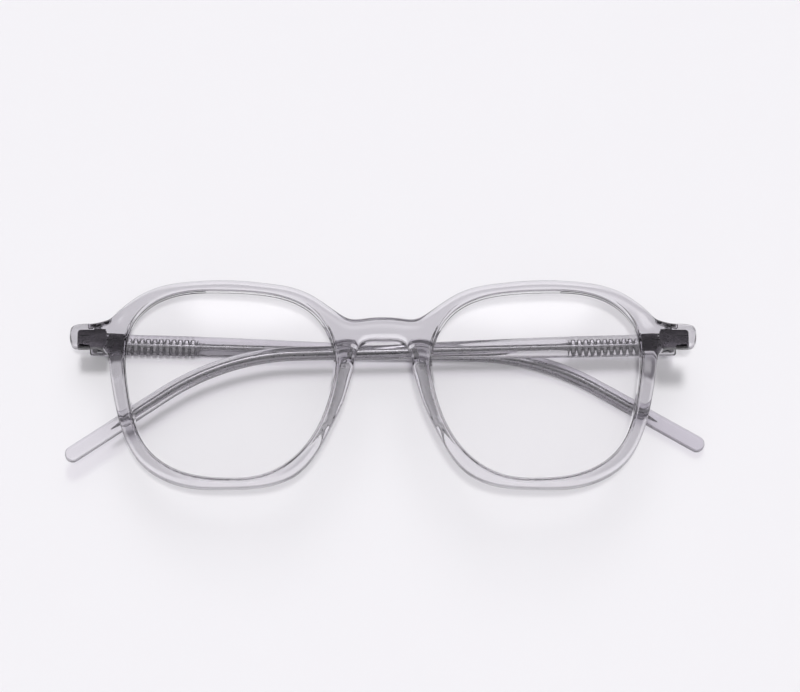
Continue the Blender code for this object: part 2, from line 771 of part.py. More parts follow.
def make_hinge_leaf(name, plate, barrels, necks, side, parent):
    """A leaf is a plate with barrels on necks, bored for the screw."""
    leaf = add_object(name, mirror_mesh(plate, side), PARTS, HINGE_METAL, parent)
    cut(leaf, add_cutter(name + "_necks", mirror_mesh(necks, side), parent), "UNION")
    cut(leaf, add_cutter(name + "_barrels", mirror_mesh(barrels, side), parent), "UNION")
    cut(leaf, add_cutter(name + "_bore", screw_bore_mesh(name + "_bore"), parent))
    return leaf


def make_front_leaf(side_name, side, parent):
    """The leaf let into the rear of an endpiece. Its origin is on the hinge axis."""
    plate = box_mesh(
        "front_leaf",
        (-FRONT_LEAF_HEEL, -FRONT_LEAF_HEIGHT / 2, AXIS_TO_FRONT),
        (FRONT_LEAF_REACH, FRONT_LEAF_HEIGHT / 2, AXIS_TO_FRONT + FRONT_LEAF_THICKNESS),
        LEAF_CORNER,
    )
    barrels = barrels_mesh("front_barrels", FRONT_BARRELS)
    necks = necks_mesh(
        "front_necks", FRONT_BARRELS,
        -BARREL_RADIUS, FRONT_NECK_REACH, 0, AXIS_TO_FRONT + FRONT_LEAF_THICKNESS / 2,
    )
    name = "front_hinge_" + side_name
    leaf = make_hinge_leaf(name, plate, barrels, necks, side, parent)
    rib_height = BARREL_HEIGHT
    ribs = []
    for place in TEMPLE_BARRELS:
        middle = BARREL_STEP * place
        ribs.append(box_mesh(
            "anchor_rib",
            (
                FRONT_LEAF_REACH - FRONT_LEAF_HEEL - LEAF_CORNER,
                middle - rib_height / 2,
                AXIS_TO_FRONT + FRONT_LEAF_THICKNESS / 2,
            ),
            (
                FRONT_LEAF_REACH - LEAF_CORNER / 2,
                middle + rib_height / 2,
                AXIS_TO_FRONT + FRONT_LEAF_THICKNESS + LEAF_RIB_HEIGHT,
            ),
        ))
    anchors = mirror_mesh(joined_mesh("anchor_ribs", ribs), side)
    cut(leaf, add_cutter(name + "_anchors", anchors, parent), "UNION")
    return leaf


def make_temple_leaf(side_name, side, parent):
    """The leaf let into the inner face of a temple. Its origin is on the hinge axis."""
    plate = box_mesh(
        "temple_leaf",
        (
            TEMPLE_LEAF_START,
            -TEMPLE_LEAF_HEIGHT / 2,
            -AXIS_TO_TEMPLE - TEMPLE_LEAF_THICKNESS,
        ),
        (
            TEMPLE_LEAF_START + TEMPLE_LEAF_LENGTH,
            TEMPLE_LEAF_HEIGHT / 2,
            -AXIS_TO_TEMPLE,
        ),
        LEAF_CORNER,
    )
    barrels = barrels_mesh("temple_barrels", TEMPLE_BARRELS)
    necks = necks_mesh(
        "temple_necks", TEMPLE_BARRELS,
        0, TEMPLE_LEAF_START + LEAF_CORNER,
        -AXIS_TO_TEMPLE - TEMPLE_LEAF_THICKNESS * 3 / 4, -AXIS_TO_TEMPLE / 2,
    )
    return make_hinge_leaf("temple_hinge_" + side_name, plate, barrels, necks, -side, parent)


def make_screw(side_name, parent):
    """A slotted screw down the hinge axis, its head on the brow side."""
    top = BARREL_STEP * max(FRONT_BARRELS) + BARREL_HEIGHT / 2
    shank = cylinder_mesh("screw", SCREW_RADIUS, -top - SCREW_TAIL, top + 2 * SCREW_GAP)
    screw = add_object("hinge_screw_" + side_name, shank, PARTS, SCREW_METAL, parent)
    head_low = top + SCREW_GAP
    head_top = head_low + SCREW_HEAD_HEIGHT
    head = cylinder_mesh("screw_head", SCREW_HEAD_RADIUS, head_low, head_top)
    cut(screw, add_cutter("screw_head_" + side_name, head, parent), "UNION")
    slot = box_mesh(
        "screw_slot",
        (-SCREW_HEAD_RADIUS - OVERRUN, head_top - SCREW_SLOT_DEPTH, -SCREW_SLOT_WIDTH / 2),
        (SCREW_HEAD_RADIUS + OVERRUN, head_top + OVERRUN, SCREW_SLOT_WIDTH / 2),
    )
    cut(screw, add_cutter("screw_slot_" + side_name, slot, parent))
    return screw


def make_empty(name, location, turn, parent=None):
    made = bpy.data.objects.new(name, None)
    PARTS.objects.link(made)
    made.parent = parent
    made.location = location
    made.rotation_euler = (0, turn, 0)
    return made


clear_scene()
PARTS = new_collection("eyeglass_frame")
CUTTERS = new_collection("eyeglass_frame_cutters")
ACETATE = make_material("clear_grey_acetate", (0.80, 0.77, 0.83), 0.08, transmission=0.9)
LENS_CLEAR = make_material("clear_lens", (0.97, 0.98, 0.99), 0.02, transmission=1.0)
HINGE_METAL = make_material("nickel_silver_hinge", (0.62, 0.61, 0.62), 0.28, metallic=1.0)
SCREW_METAL = make_material("steel_screw", (0.70, 0.70, 0.72), 0.22, metallic=1.0)
WIRE = make_material("nickel_silver_core", (0.66, 0.64, 0.66), 0.25, metallic=1.0)

# The front leans on its stacked temples; the whole is centred over its box
front_rig = make_empty(
    "front_rig",
    (AXIS_Z * math.sin(FRONT_LEAN), -(RIM_LOW_Y + RIM_HIGH_Y) / 2, FRONT_HEIGHT),
    -FRONT_LEAN,
)
make_front(front_rig)
for side_name, side in SIDES:
    lens = mirror_mesh(lens_mesh("lens"), side)
    add_object("lens_" + side_name, lens, PARTS, LENS_CLEAR, front_rig)
    pad = mirror_mesh(pad_mesh("nose_pad"), side)
    add_object("nose_pad_" + side_name, pad, PARTS, ACETATE, front_rig)
    axis = (side * HINGE_X, 0, AXIS_Z)
    hinge_rig = make_empty("hinge_rig_" + side_name, axis, 0, front_rig)
    make_front_leaf(side_name, side, hinge_rig)
    make_screw(side_name, hinge_rig)
    temple_rig = make_empty("temple_rig_" + side_name, axis, FRONT_LEAN, front_rig)
    make_temple(side_name, side, temple_rig)
    make_core(side_name, side, temple_rig)
    make_temple_leaf(side_name, side, temple_rig)
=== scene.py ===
"""Looks of the clear acetate spectacle frame, folded and lying front up on its temples."""

import json
import math

import bmesh
import bpy
import numpy as np
from mathutils import Matrix, Vector
from mathutils.geometry import delaunay_2d_cdt

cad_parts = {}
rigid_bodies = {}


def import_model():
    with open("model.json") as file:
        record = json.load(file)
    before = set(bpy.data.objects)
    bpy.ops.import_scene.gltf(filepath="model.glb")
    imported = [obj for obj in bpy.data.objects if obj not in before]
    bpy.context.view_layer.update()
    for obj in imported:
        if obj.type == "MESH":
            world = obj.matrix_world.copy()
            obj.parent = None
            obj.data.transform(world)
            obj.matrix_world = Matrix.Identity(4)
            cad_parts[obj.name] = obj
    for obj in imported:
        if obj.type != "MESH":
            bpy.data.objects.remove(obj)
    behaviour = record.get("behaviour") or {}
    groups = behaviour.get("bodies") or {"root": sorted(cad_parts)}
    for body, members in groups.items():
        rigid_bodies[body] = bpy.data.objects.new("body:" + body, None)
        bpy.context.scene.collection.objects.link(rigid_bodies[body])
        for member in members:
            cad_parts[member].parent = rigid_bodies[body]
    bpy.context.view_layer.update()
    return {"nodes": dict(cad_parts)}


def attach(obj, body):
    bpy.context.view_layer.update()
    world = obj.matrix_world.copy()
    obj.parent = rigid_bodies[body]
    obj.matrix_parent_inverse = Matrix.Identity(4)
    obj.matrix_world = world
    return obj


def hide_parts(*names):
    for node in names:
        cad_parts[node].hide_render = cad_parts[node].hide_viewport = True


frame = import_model()

MM = 0.001

# Sizes of the front, as in the CAD
LENS_OPENING_WIDTH = 47.2 * MM
LENS_OPENING_HEIGHT = 43.05 * MM
HALF_GAP = 10.5 * MM
OPENING_TOP = 9.75 * MM
OPENING_BOTTOM = OPENING_TOP - LENS_OPENING_HEIGHT
FRONT_THICKNESS = 4.0 * MM
BOW_RADIUS = 430.0 * MM
RIM_TOP = 2.4 * MM
RIM_SIDE = 3.55 * MM
RIM_BOTTOM = 2.3 * MM
RIM_NOSE = 3.9 * MM
BRIDGE_TOP = 3.2 * MM
BRIDGE_DIP = 0.46 * MM
BRIDGE_BOTTOM = 2.0 * MM
ARCH_DROP = 6.4 * MM
HINGE_OUTSET = 2.6 * MM
ENDPIECE_REACH = 6.45 * MM
ENDPIECE_TOP = 3.0 * MM
ENDPIECE_BOTTOM = 2.6 * MM
SEAT_BUILD_UP = 0.45 * MM
SEAT_BLEND = 4.0 * MM
RIM_INNER_X = HALF_GAP - RIM_NOSE
RIM_OUTER_X = HALF_GAP + LENS_OPENING_WIDTH + RIM_SIDE
RIM_LOW_Y = OPENING_BOTTOM - RIM_BOTTOM
RIM_HIGH_Y = OPENING_TOP + RIM_TOP
HINGE_X = RIM_OUTER_X + HINGE_OUTSET

# Edges, groove and lenses
EDGE_ROUND = 1.3 * MM
OPENING_ROUND = 0.45 * MM
GROOVE_DEPTH = 0.75 * MM
GROOVE_HALF = 0.52 * MM
GROOVE_ROOT_HALF = 0.12 * MM
LENS_THICKNESS = 1.8 * MM
LENS_CROWN = 1.5 * MM
LENS_FIT = 0.06 * MM
LENS_BEVEL = 0.6 * MM
LENS_CHAMFER = 0.45 * MM
LENS_EDGE_HALF = 0.42 * MM
LENS_APEX_HALF = LENS_THICKNESS / 18

# Nose pads: places along a pad are parts of its length, places across it parts of its width.
# The head rises in bands at the top, the slope follows, and the lower end draws to a point.
# No pad goes farther from the nose than PAD_OPENING_SHARE of the opening's width.
PAD_TOP = 1.2 * MM
PAD_LENGTH = 27.0 * MM
PAD_SLOPE = math.tan(math.radians(39.5))
PAD_FOOT = 0.54 * EDGE_ROUND
PAD_EASE = (0.30, 0.66)
PAD_LOWER_SHARE = 0.92
PAD_CREST = 0.94
PAD_SOFT = 0.12 * MM
PAD_HEAD_STEEP = 2.2
PAD_HEAD_DEPTH = 1.9 * MM
PAD_HEAD_ARCH = 0.035
PAD_HEAD_BANDS = ((0.008, 0.042), (0.062, 0.094), (0.112, 0.144))
PAD_HEAD_END = (0.17, 0.22)
PAD_POINT_START = 0.72
PAD_POINT_REACH = 0.62
PAD_OPENING_SHARE = 0.45

# Temples, the core wires in them and the hinges
TEMPLE_LENGTH = 143.5 * MM
TEMPLE_THICKNESS = 3.2 * MM
TEMPLE_HEIGHT = 4.65 * MM
TEMPLE_WAIST = 2.9 * MM
TEMPLE_TIP_HEIGHT = 3.5 * MM
TEMPLE_TO_TAPER = 15.5 * MM
TEMPLE_TO_WAIST = 80.0 * MM
TEMPLE_ROUND = 1.0 * MM
BUTT_ROUND = 0.35 * MM
TIP_FLAT = 0.002 * MM
TEMPLE_TO_BEND = 101.8 * MM
TEMPLE_BEND_RADIUS = 56.0 * MM
TEMPLE_TIP_DROP = {"left": math.radians(28.3), "right": math.radians(32.2)}
TEMPLE_SLOPE = {"left": math.radians(1.2), "right": math.radians(1.85)}
STACK_GAP = 0.5 * MM
AXIS_TO_FRONT = 2.6 * MM
AXIS_TO_TEMPLE = 0.8 * MM
BUTT_REACH = 2.3 * MM
BARREL_ROOM = 2.05 * MM
LEAF_START = 2.3 * MM
LEAF_LENGTH = 3.6 * MM
LEAF_THICKNESS = 0.6 * MM
STEP_BEFORE_LEAF = 1.3 * MM
STEP_UNDER_LEAF = 0.02 * MM
STEP_BEYOND_LEAF = 0.05 * MM
CORE_START = 4.0 * MM
CORE_RIBBED_LENGTH = 20.6 * MM
CORE_TAPER_LENGTH = 2.7 * MM
CORE_TAPER_LEAD = 0.4
CORE_HALF_HEIGHT = 1.55 * MM
CORE_PLATE_HALF = 0.28 * MM
CORE_RIB_HALF = 0.55 * MM
CORE_RIB_PITCH = 1.43 * MM
CORE_RIB_SHARE = 0.40
CORE_RIB_POWER = 4
CORE_SIDE_POWER = 0.5
CORE_WEB_HALF = 0.95 * MM
CORE_WIRE_RADIUS = 0.7 * MM
CORE_POINT_RADIUS = 0.12 * MM
CORE_POINT_LENGTH = 5.0 * MM
CORE_END_MARGIN = 12.0 * MM
CORE_END_ROUND = 0.25 * MM
HARDWARE_BEVEL = 0.07 * MM

# The photograph's camera, in the front's own axes
IMAGE_WIDTH_PX = 800
IMAGE_HEIGHT_PX = 692
PX_PER_MM = 4.479
FRONT_MIDDLE_PX = (383.0, 332.0)
CAMERA_TILT = math.radians(76)
CAMERA_DISTANCE = 900 * MM
SENSOR_MM = 36.0
CAMERA_NEAR = 0.05
CAMERA_FAR = 10

# Acetate: its depth's tint, and painted shade that darkens the colour of its upright edges to
# stand in for dark refracted outlines. How strong the painted shade is goes by how upright the
# surface stands, times the outer strength plus the share on the mesh: the opening offset in the
# lens openings, 0 elsewhere.
ACETATE_IOR = 1.48
ACETATE_DENSITY = 80.0
ACETATE_DEPTH_TINT = (0.66, 0.63, 0.70)
# Colour of the painted edge shade, and its strengths
PAINTED_EDGE_SHADE = (0.15, 0.14, 0.16)
OUTER_PAINTED_SHADE = 0.84
OPENING_PAINTED_SHADE = -0.74
PAINTED_SHADE_STEEPNESS = (0.78, 0.42)

# Other materials; roughness follows a noise through the middle of its range
LENS_IOR = 1.5
NOISE_SPAN = (0.3, 0.7)

# Lamps: tilt from overhead to the brow side, how wide, part of the light on the table, and
# whether the front shades it
LAMPS = (
    ("overhead_lamp", math.radians(-6), math.radians(5), 0.30, True),
    ("window_lamp", math.radians(29), math.radians(12), 0.40, False),
)

# The room: table, walls, ceiling and a window, with the directions between which it fades
TABLE_HALF = 1.5
WALL_STRENGTH = 0.05
CEILING_STRENGTH = 0.34
CEILING_FALL = 3.0
WINDOW_STRENGTH = 2.0
WINDOW_SIDE_FADE = (0.38, 0.22)
WINDOW_NEAR_FADE = (0.33, 0.48)
WINDOW_FAR_FADE = (0.92, 0.80)

# Outlines as in the CAD, as parts of each feature's width and height
OPENING_SHARES = (
    (0.551, 1.000), (0.746, 0.991), (0.869, 0.942), (0.965, 0.835), (1.000, 0.622),
    (0.987, 0.495), (0.953, 0.314), (0.871, 0.146), (0.731, 0.042), (0.519, 0.000),
    (0.328, 0.021), (0.180, 0.121), (0.074, 0.288), (0.019, 0.472), (0.000, 0.600),
    (0.023, 0.738), (0.097, 0.866), (0.212, 0.946), (0.371, 0.986),
)
RIM_LOWER_SHARES = (
    (0.013, 0.896), (0.038, 0.728), (0.075, 0.558), (0.135, 0.329), (0.235, 0.105),
    (0.345, 0.021), (0.500, 0.000), (0.660, 0.018), (0.792, 0.113), (0.873, 0.245),
    (0.940, 0.490), (0.979, 0.782), (1.000, 1.059),
)
RIM_UPPER_SHARES = (
    (0.970, 0.445), (0.920, 0.631), (0.872, 0.770), (0.774, 0.929), (0.660, 0.988),
    (0.542, 1.000), (0.357, 0.925), (0.235, 0.813), (0.161, 0.659), (0.112, 0.508),
)
ENDPIECE_UNDER_SHARES = ((-0.37, -2.00), (-0.27, -1.42), (-0.09, -1.09), (0.12, -1.00))
ENDPIECE_END_SHARES = (
    (0.62, -1.00), (0.90, -0.82), (0.99, -0.30), (1.00, 0.35), (0.93, 0.80), (0.74, 0.97),
)
ENDPIECE_OVER_SHARES = ((0.19, 1.00), (-0.13, 1.11), (-0.40, 1.31))
BRIDGE_SHARES = ((0.957, 2.24), (0.829, 0.37), (0.705, -0.76), (0.571, -1.0), (0.319, -0.41))
ARCH_SHARES = ((0.45, 0.01), (0.70, 0.10), (0.85, 0.30), (0.94, 0.565), (1.00, 1.00))

# How finely curves and faces are divided; faces are finer where the nose pads are
OUTLINE_STEP = 0.45 * MM
FILL_STEP = 0.8 * MM
PAD_FILL_STEP = 0.24 * MM
NOSE_REACH = 22.0 * MM
ROUND_STEPS = 9
LENS_LEVELS = 36
TEMPLE_STEP = 0.8 * MM
BUTT_STEPS = 4
TIP_STEPS = 12
CORNER_STEPS = 5
CORNER_LIMIT = 0.98
RELIEF_SIDES = 64
CUT_SHARP = 30.0
CORE_STEPS_PER_RIB = 16
CORE_SIDES = 28

# Points nearer than WELD are one; the others are what counts as nothing in the filling, in mm,
# in a length and in a sine
WELD = 0.002 * MM
FILL_TOLERANCE = 1e-5
TINY_LENGTH = 1e-9
TINY_SINE = 1e-6

# Left and right as in the photograph, with the sign of X
SIDES = (("left", -1), ("right", 1))


def sag(x):
    """How far the bowed front lies behind its middle."""
    return BOW_RADIUS - np.sqrt(BOW_RADIUS**2 - np.asarray(x) ** 2)


def smooth_step(t):
    """0 below 0 and 1 above 1, smooth between."""
    t = np.clip(t, 0.0, 1.0)
    return t * t * (3 - 2 * t)


SEAT_Z = -(float(sag(HINGE_X)) + FRONT_THICKNESS / 2 + SEAT_BUILD_UP)
AXIS_Z = SEAT_Z - AXIS_TO_FRONT
FRONT_LEAN = math.asin((TEMPLE_THICKNESS + STACK_GAP) / (2 * HINGE_X))
FRONT_HEIGHT = (
    TEMPLE_THICKNESS + AXIS_TO_TEMPLE
    + HINGE_X * math.sin(FRONT_LEAN) - AXIS_Z * math.cos(FRONT_LEAN)
)
FRONT_PLACE = Matrix.Translation((
    AXIS_Z * math.sin(FRONT_LEAN), -(RIM_LOW_Y + RIM_HIGH_Y) / 2, FRONT_HEIGHT,
)) @ Matrix.Rotation(-FRONT_LEAN, 4, "Y")
TEMPLE_MIDDLE_Z = -AXIS_TO_TEMPLE - TEMPLE_THICKNESS / 2


def temple_place(side):
    """From a temple's own axes, at its hinge, to the scene; the right one is mirrored."""
    axis = Matrix.Translation((side * HINGE_X, 0, AXIS_Z))
    flip = Matrix.Diagonal((-side, 1, 1, 1))
    return FRONT_PLACE @ axis @ Matrix.Rotation(FRONT_LEAN, 4, "Y") @ flip


def smooth_loop(points, step):
    """Points along the closed smooth curve through the given ones, about a step apart."""
    knots = np.array(points)
    count = len(knots)
    ahead = np.roll(knots, -1, axis=0)
    spans = np.linalg.norm(ahead - knots, axis=1)
    behind_spans = np.roll(spans, 1)
    system = np.zeros((count, count))
    right_hand = np.zeros((count, 2))
    for i in range(count):
        before = (i - 1) % count
        after = (i + 1) % count
        system[i, before] += behind_spans[i]
        system[i, i] += 2 * (behind_spans[i] + spans[i])
        system[i, after] += spans[i]
        slope_after = (knots[after] - knots[i]) / spans[i]
        slope_before = (knots[i] - knots[before]) / behind_spans[i]
        right_hand[i] = 6 * (slope_after - slope_before)
    bends = np.linalg.solve(system, right_hand)
    made = []
    for i in range(count):
        after = (i + 1) % count
        span = spans[i]
        pieces = max(2, math.ceil(span / step))
        for piece in range(pieces):
            t = span * piece / pieces
            rest = span - t
            made.append(
                (bends[i] * rest**3 + bends[after] * t**3) / (6 * span)
                + (knots[i] / span - bends[i] * span / 6) * rest
                + (knots[after] / span - bends[after] * span / 6) * t
            )
    return np.array(made)


def offset_loop(points, distance):
    """A closed outline moved outward by a distance."""
    along = np.roll(points, -1, axis=0) - np.roll(points, 1, axis=0)
    along /= np.linalg.norm(along, axis=1)[:, None]
    outward = np.stack([along[:, 1], -along[:, 0]], axis=1)
    return points + outward * distance


def opening_loop():
    """The right lens opening."""
    points = [
        (HALF_GAP + LENS_OPENING_WIDTH * x, OPENING_BOTTOM + LENS_OPENING_HEIGHT * y)
        for x, y in OPENING_SHARES
    ]
    return smooth_loop(points[::-1], OUTLINE_STEP)


def front_loop():
    """The front's outer outline: half of it from the shares, the rest mirrored."""
    rim_width = RIM_OUTER_X - RIM_INNER_X
    arch_foot_y = -BRIDGE_BOTTOM - ARCH_DROP
    lower_height = arch_foot_y - RIM_LOW_Y
    half = [(RIM_INNER_X * x, -BRIDGE_BOTTOM - ARCH_DROP * y) for x, y in ARCH_SHARES]
    half += [
        (RIM_INNER_X + rim_width * x, RIM_LOW_Y + lower_height * y) for x, y in RIM_LOWER_SHARES
    ]
    for shares, height in (
        (ENDPIECE_UNDER_SHARES, ENDPIECE_BOTTOM),
        (ENDPIECE_END_SHARES, ENDPIECE_TOP),
        (ENDPIECE_OVER_SHARES, ENDPIECE_TOP),
    ):
        for x, y in shares:
            rise = height if y > 0 else ENDPIECE_BOTTOM
            half.append((HINGE_X + ENDPIECE_REACH * x, rise * y))
    half += [(RIM_INNER_X + rim_width * x, RIM_HIGH_Y * y) for x, y in RIM_UPPER_SHARES]
    half += [(HALF_GAP * x, BRIDGE_TOP + BRIDGE_DIP * y) for x, y in BRIDGE_SHARES]
    mirrored = [(-x, y) for x, y in half[::-1]]
    return smooth_loop([(0, -BRIDGE_BOTTOM)] + half + [(0, BRIDGE_TOP)] + mirrored, OUTLINE_STEP)


def inside(points, loop):
    """Which points lie inside a closed outline."""
    x, y = points[:, 0][:, None], points[:, 1][:, None]
    x1, y1 = loop[:, 0][None], loop[:, 1][None]
    x2, y2 = np.roll(loop[:, 0], -1)[None], np.roll(loop[:, 1], -1)[None]
    crosses = (y1 > y) != (y2 > y)
    at = x1 + (y - y1) * (x2 - x1) / np.where(y2 == y1, 1, y2 - y1)
    return (crosses & (x < at)).sum(axis=1) % 2 == 1


def nearest(points, loop):
    """Distance from each point to an outline."""
    spans = np.roll(loop, -1, axis=0) - loop
    lengths = (spans**2).sum(axis=1)
    best = np.full(len(points), np.inf)
    for start, span, length in zip(loop, spans, lengths):
        away = points - start
        share = np.clip((away @ span) / length, 0, 1)
        best = np.minimum(best, ((away - share[:, None] * span) ** 2).sum(axis=1))
    return np.sqrt(best)


def even_grid(low, high, step):
    """Points of a triangular grid between two corners."""
    xs = np.arange(low[0], high[0], step)
    ys = np.arange(low[1], high[1], step * math.sqrt(3) / 2)
    return np.array([
        (x + (step / 2 if row % 2 else 0), y) for row, y in enumerate(ys) for x in xs
    ])


def fill(outer, holes, step):
    """Points and triangles that fill an outline round its holes, on a grid finer at the nose."""
    low, high = outer.min(axis=0), outer.max(axis=0)
    grid = even_grid(low, high, step)
    nose = (abs(grid[:, 0]) < NOSE_REACH) & (grid[:, 1] < 0)
    fine = even_grid((-NOSE_REACH, low[1]), (NOSE_REACH, 0), PAD_FILL_STEP)
    grid = np.vstack([grid[~nose], fine])
    keep = inside(grid, outer)
    for hole in holes:
        keep &= ~inside(grid, hole)
    grid = grid[keep]
    for loop in [outer, *holes]:
        clear = np.where((abs(grid[:, 0]) < NOSE_REACH) & (grid[:, 1] < 0), PAD_FILL_STEP, step)
        grid = grid[nearest(grid, loop) > clear / 2]
    loops = [outer, *holes]
    points = np.vstack([*loops, grid])
    edges = []
    start = 0
    for loop in loops:
        count = len(loop)
        edges += [(start + i, start + (i + 1) % count) for i in range(count)]
        start += count
    scaled = [Vector(p / MM) for p in points]
    made, _, faces, _, _, _ = delaunay_2d_cdt(scaled, edges, [], 0, FILL_TOLERANCE)
    made = np.array([tuple(p) for p in made]) * MM
    faces = np.array([tuple(f) for f in faces])
    middles = made[faces].mean(axis=1)
    keep = inside(middles, outer)
    for hole in holes:
        keep &= ~inside(middles, hole)
    return made, faces[keep]


def as_object(name, bm, place):
    """An object in the scene with the given faces, moved to its place."""
    bmesh.ops.transform(bm, matrix=place, verts=bm.verts)
    bmesh.ops.recalc_face_normals(bm, faces=bm.faces)
    mesh = bpy.data.meshes.new(name)
    bm.to_mesh(mesh)
    bm.free()
    made = bpy.data.objects.new(name, mesh)
    bpy.context.scene.collection.objects.link(made)
    return made


def new_piece(name, bm, material, body, place, replaced, sharp=35.0):
    """A smooth-shaded piece that rides on a body and stands for some CAD nodes."""
    bmesh.ops.remove_doubles(bm, verts=bm.verts, dist=WELD)
    piece = as_object(name, bm, place)
    piece.data.materials.append(material)
    piece.data.shade_smooth()
    piece.data.set_sharp_from_angle(angle=math.radians(sharp))
    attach(piece, body)
    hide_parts(*replaced)
    return piece


def skin(bm, rings, capped=False):
    """Faces between rings of as many points each."""
    rows = [[bm.verts.new(point) for point in ring] for ring in rings]
    for first, second in zip(rows, rows[1:]):
        for i in range(len(first)):
            after = (i + 1) % len(first)
            bm.faces.new((first[i], first[after], second[after], second[i]))
    if capped:
        bm.faces.new(rows[0][::-1])
        bm.faces.new(rows[-1])
    return rows


def pad_shape(points, opening, outline):
    """How far the built-up nose pads stand behind the plain rear face; below 0 off the pads."""
    shape = np.array([abs(points[:, 0]), points[:, 1]]).T
    to_lens = nearest(shape, opening)
    to_nose = np.where(inside(shape, outline), nearest(shape, outline), 0)
    to_lens = np.where(inside(shape, opening), 0, to_lens)
    down = (-PAD_TOP - shape[:, 1]) / PAD_LENGTH
    width = np.maximum(to_nose + to_lens, MM)
    to_point = np.clip((down - PAD_POINT_START) / (1 - PAD_POINT_START), 0, 1)
    begin = to_point * PAD_POINT_REACH * width
    crest = PAD_CREST * width - begin
    over = to_nose - begin
    run = crest - np.logaddexp(0, (crest - over) / PAD_SOFT) * PAD_SOFT
    slope = PAD_SLOPE * run * np.interp(down, PAD_EASE, (1, PAD_LOWER_SHARE)) - PAD_FOOT
    arched = down - PAD_HEAD_ARCH * ((to_nose - to_lens) / width) ** 2
    bands = sum(smooth_step((arched - low) / (high - low)) for low, high in PAD_HEAD_BANDS)
    head = np.minimum(PAD_HEAD_STEEP * slope, PAD_HEAD_DEPTH) * bands / len(PAD_HEAD_BANDS)
    to_slope = smooth_step((down - PAD_HEAD_END[0]) / (PAD_HEAD_END[1] - PAD_HEAD_END[0]))
    rise = head + (slope - head) * to_slope
    far_x = HALF_GAP + LENS_OPENING_WIDTH * PAD_OPENING_SHARE
    pad = (down > 0) * (down < 1) * (shape[:, 0] < far_x)
    return np.where(pad, rise, -EDGE_ROUND)


def front_depths(points, opening, outline, pads=True):
    """Depth of the rear face behind the middle surface: plate, hinge seats and nose pads."""
    x, y = points[:, 0], points[:, 1]
    across = smooth_step((abs(x) - RIM_OUTER_X + SEAT_BLEND) / SEAT_BLEND)
    along = smooth_step((y + ENDPIECE_BOTTOM + 2 * SEAT_BLEND) / SEAT_BLEND)
    plain = -FRONT_THICKNESS / 2 - sag(x)
    rear = plain + (SEAT_Z - plain) * across * along
    depth = -(rear + sag(x))
    if pads:
        depth = depth + np.maximum(pad_shape(points, opening, outline), 0)
    return depth


def edge_profile(rounding, groove):
    """(inset, level) pairs from the front face, over the edge, to the rear face."""
    half = FRONT_THICKNESS / 2
    pairs = []
    for i in range(ROUND_STEPS + 1):
        angle = math.pi / 2 * (1 - i / ROUND_STEPS)
        level = half - rounding + rounding * math.sin(angle)
        pairs.append((rounding * (1 - math.cos(angle)), level))
    below = [(inset, -level) for inset, level in pairs[::-1]]
    middle = [(0, half / 4), (0, -half / 4)]
    if groove:
        middle = [
            (0, GROOVE_HALF), (GROOVE_DEPTH, GROOVE_ROOT_HALF),
            (GROOVE_DEPTH, -GROOVE_ROOT_HALF), (0, -GROOVE_HALF),
        ]
    return pairs + middle + below


def edge_rings(loop, into, rounding, groove, opening, outline):
    """The rings of the edge along a loop; into is the sign that moves it into the plate."""
    rings = []
    half = FRONT_THICKNESS / 2
    for inset, level in edge_profile(rounding, groove):
        points = offset_loop(loop, into * inset)
        z = level - sag(points[:, 0])
        if level < -(half - rounding) - TINY_LENGTH:
            share = (-level - (half - rounding)) / rounding
            depth = front_depths(points, opening, outline, into > 0)
            z = -sag(points[:, 0]) - (half - rounding) - share * (depth - half + rounding)
            if into < 0:
                z = np.minimum(z, -sag(points[:, 0]) - half - pad_shape(points, opening, outline))
        rings.append([(x, y, height) for (x, y), height in zip(points, z)])
    return rings


def make_front(material):
    """Rims, bridge, endpieces and nose pads as one body, with the share of painted edge shade
    stored on it.
    """
    opening = opening_loop()
    outline = front_loop()
    mirrored = opening[::-1] * np.array((-1, 1))
    bm = bmesh.new()
    painted_shade_layer = bm.verts.layers.float.new("painted_shade_share")
    for loop, into, rounding, groove in (
        (outline, -1, EDGE_ROUND, False),
        (opening, 1, OPENING_ROUND, True),
        (mirrored, 1, OPENING_ROUND, True),
    ):
        rows = skin(bm, edge_rings(loop, into, rounding, groove, opening, outline))
        for row in rows:
            for vert in row:
                # Painted shade on the edges: the lens openings get less of it than the outer
                # edges
                vert[painted_shade_layer] = OPENING_PAINTED_SHADE if groove else 0.0
    outer = offset_loop(outline, -EDGE_ROUND)
    holes = [offset_loop(loop, OPENING_ROUND) for loop in (opening, mirrored)]
    points, faces = fill(outer, holes, FILL_STEP)
    half = FRONT_THICKNESS / 2
    tops = half - sag(points[:, 0])
    depths = front_depths(points, opening, outline)
    bottoms = -sag(points[:, 0]) - depths
    for heights, order in ((tops, (0, 1, 2)), (bottoms, (2, 1, 0))):
        verts = [bm.verts.new((x, y, z)) for (x, y), z in zip(points, heights)]
        for face in faces:
            bm.faces.new([verts[face[i]] for i in order])
    return new_piece(
        "acetate_front", bm, material, "front", FRONT_PLACE,
        ("front_frame", "nose_pad_left", "nose_pad_right"),
    )


